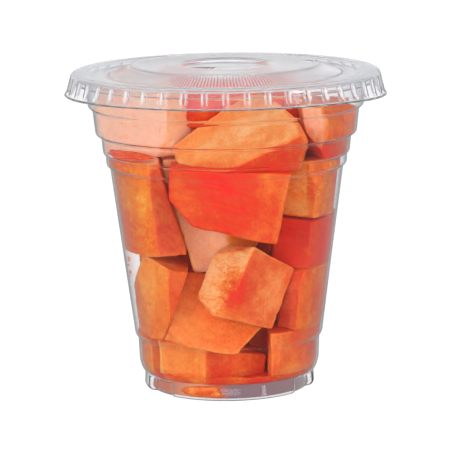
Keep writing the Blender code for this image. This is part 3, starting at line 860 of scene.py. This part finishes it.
def add_juice():
    outline = split_long(rounded_outline(JUICE_OUTLINE, JUICE_ROUNDING, 4), JUICE_LONGEST)
    spots, faces = turned(outline, JUICE_TURNS, juice_relief)
    values = {"tone": JUICE_TONE + JUICE_TONES * ripples(spots, JUICE_TONE_LENGTH * MM, JUICE_SEED),
              "blush": np.full(len(spots), JUICE_BLUSH), "strings": np.full(len(spots), JUICE_STRINGS)}
    juice = add_mesh("juice_on_the_floor", spots, faces, papaya_paint, values, spots)
    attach(juice, "root")


add_juice()

# ------------------------------------------------------------------------------------------------ the lid
# A flat push-on lid pressed from the same clear sheet: a raised middle with a finely ribbed slope round it,
# a channel over the cup's rolled rim, and a skirt whose 48 inward nibs hold on under that rim.
LID_WALL = 0.4
LID_TURNS = 864
LID_OUTSIDE = ((0, 102.1), (13.4, 102.1), (14.2, 103.0), (29.5, 103.0), (36.5, 99.9), (41.6, 99.9),
               (43.4, 101.0), (47.7, 101.0), (48.7, 100.3), (49.1, 99.0), (49.8, 97.0), (50.1, 95.9),
               (50.8, 94.8))
LID_ROUNDING, TOP_LONGEST, SKIRT_LONGEST = 0.7, 1.6, 0.8
SKIRT_TOP_RADIUS = 48.0
NIBS = 48
NIB_DEPTH, NIB_HALF_WIDTH = 0.9, 1.2            # the width in degrees
NIB_MIDDLE, NIB_HALF_HEIGHT = 97.8, 2.2
NIB_RADII = (48.0, 48.5)                        # where the nibs set in
SLOPE_INNER, SLOPE_OUTER = 29.5, 36.5
SLOPE_ENDS = (SLOPE_OUTER - 0.6, SLOPE_OUTER + 0.5)
SLOPE_RIBS = 216
RIB_DEPTH, RIBS_SET_IN, RIB_HIGHLIGHT_SETS_IN = 0.20, 1.2, 0.8
NOTCH_BEARING, NOTCH_HALF_WIDTH = 96.0, 5.0     # degrees
NOTCH_RADIUS, NOTCH_LENGTH, NOTCH_DEPTH = 28.6, 2.2, 1.1
TAB_MIDDLE, TAB_HALF, TAB_DEPTH = (-7.0, -5.0), (4.6, 2.4), 0.5
SIDE_DROP = 1.1            # how much lower the skirt hangs at the sides, where the lid is pressed down
DROP_LEAN = 0.35           # and how much more of that at the right
DROP_RADIUS = 50
DROP_HEIGHTS, DROP_RADII = (95.5, 100.5), (47, 48)      # where the drop ends above, and sets in
# Painted highlights whitened into the sheet: two curved strokes beside each nib, the slope's rib crests and the
# plateau's edge.
HIGHLIGHT_RADII, HIGHLIGHT_HEIGHTS = (48.4, 48.9), (99.6, 100.4)
STROKE_OFF, STROKE_BEND = 0.88, 0.25            # degrees from the nib's middle
STROKE_WIDTH, STROKE_WIDENS = 0.29, 0.07
STROKE_ENDS = 1.15
STROKE_STRENGTH, STROKE_GROWS = 0.75, 0.25
HIGHLIGHT_EDGE_RADIUS, HIGHLIGHT_EDGE_WIDTH = 28.9, 0.45
STROKE_HIGHLIGHT, CREST_HIGHLIGHT, PLATEAU_EDGE_HIGHLIGHT = 0.75, 0.42, 0.35


def on_slope(radius, sets_in):
    """1 on the slope and 0 off it. At its top it sets in over this many millimetres."""
    return smooth_step(SLOPE_INNER, SLOPE_INNER + sets_in, radius) * (1 - smooth_step(*SLOPE_ENDS, radius))


def lid_relief(radius, height, bearing):
    """Nibs in the skirt, fine ribs down the slope, a notch in its top edge, a flat tab and the sides' drop.

    A nib is (1 - across ^ 2) ^ 1.5 times 1 - up ^ 4, the notch a bell, the tab a flat-topped bump, and the
    drop grows by the fourth power of the distance to the side.
    """
    off = off_nearest(bearing, 0, NIBS)
    across = np.clip(1 - (off / NIB_HALF_WIDTH) ** 2, 0, None) ** 1.5
    up = np.clip(1 - ((height - NIB_MIDDLE) / NIB_HALF_HEIGHT) ** 4, 0, None)
    radius = radius - NIB_DEPTH * across * up * smooth_step(*NIB_RADII, radius)
    ribs = np.cos(np.radians(bearing) * SLOPE_RIBS)
    height = height + RIB_DEPTH * ribs * on_slope(radius, RIBS_SET_IN)
    aside = off_nearest(bearing, NOTCH_BEARING, 1)
    notch = np.clip(1 - (aside / NOTCH_HALF_WIDTH) ** 2, 0, None)
    notch = notch * np.exp(-((radius - NOTCH_RADIUS) / NOTCH_LENGTH) ** 2)
    height = height - NOTCH_DEPTH * notch
    x, y = radius * np.sin(np.radians(bearing)), -radius * np.cos(np.radians(bearing))
    tab = 1 - ((x - TAB_MIDDLE[0]) / TAB_HALF[0]) ** 4 - ((y - TAB_MIDDLE[1]) / TAB_HALF[1]) ** 4
    tab = np.clip(tab, 0, 1) ** 0.5
    drop = SIDE_DROP * (1 + DROP_LEAN * x / DROP_RADIUS) * (x / DROP_RADIUS) ** 4
    drop = drop * (1 - smooth_step(*DROP_HEIGHTS, height)) * smooth_step(*DROP_RADII, radius)
    return radius, height - TAB_DEPTH * tab - drop


def painted_lid_highlights(radius, height, bearing):
    """Where the sheet is whitened: two curved strokes beside each nib, the rib crests and an edge."""
    # Painted highlights, not a frosted finish.
    on_skirt = smooth_step(*HIGHLIGHT_RADII, radius) * (1 - smooth_step(*HIGHLIGHT_HEIGHTS, height))
    off = off_nearest(bearing, 0, NIBS)
    up = np.clip((height - NIB_MIDDLE) / NIB_HALF_HEIGHT, -1, 1)
    aside = (off - STROKE_OFF + STROKE_BEND * up ** 2) / (STROKE_WIDTH + STROKE_WIDENS * up)
    stroke = np.exp(-aside ** 2) * np.clip(STROKE_ENDS - up ** 4, 0, 1)
    stroke = stroke * (STROKE_STRENGTH + STROKE_GROWS * up)
    crests = (0.5 + 0.5 * np.cos(np.radians(bearing) * SLOPE_RIBS)) ** 2
    edge = np.exp(-((radius - HIGHLIGHT_EDGE_RADIUS) / HIGHLIGHT_EDGE_WIDTH) ** 2)
    highlight_paint = STROKE_HIGHLIGHT * on_skirt * stroke + CREST_HIGHLIGHT * crests * on_slope(radius, RIB_HIGHLIGHT_SETS_IN)
    return highlight_paint + PLATEAU_EDGE_HIGHLIGHT * edge


def add_lid():
    corners = rounded_outline(LID_OUTSIDE, LID_ROUNDING, 3)
    skirt = int((corners[:, 0] > SKIRT_TOP_RADIUS).argmax())
    top = split_long(corners[:skirt + 1], TOP_LONGEST)[:-1]
    outside = np.concatenate([top, split_long(corners[skirt:], SKIRT_LONGEST)])
    inside = offset_outline(outside, LID_WALL)
    outline = np.concatenate([outside, inside[::-1]])
    spots, faces = turned(outline, LID_TURNS, lid_relief)
    # The painted highlights at the lid's points.
    highlight_paint = np.append(painted_lid_highlights(*rings(outline, LID_TURNS)), [0, 0])
    paint = clear_plastic("clear_lid", tint=(0.96, 0.965, 0.98), roughness=0.05, clarity=0.945,
                          ripple_scale=45, ripple_depth=0.15, with_painted_highlights=True)
    lid = add_mesh("clear_flat_lid", spots, faces, paint, {"highlight_paint": highlight_paint})
    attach(lid, "root")
    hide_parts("lid")


add_lid()
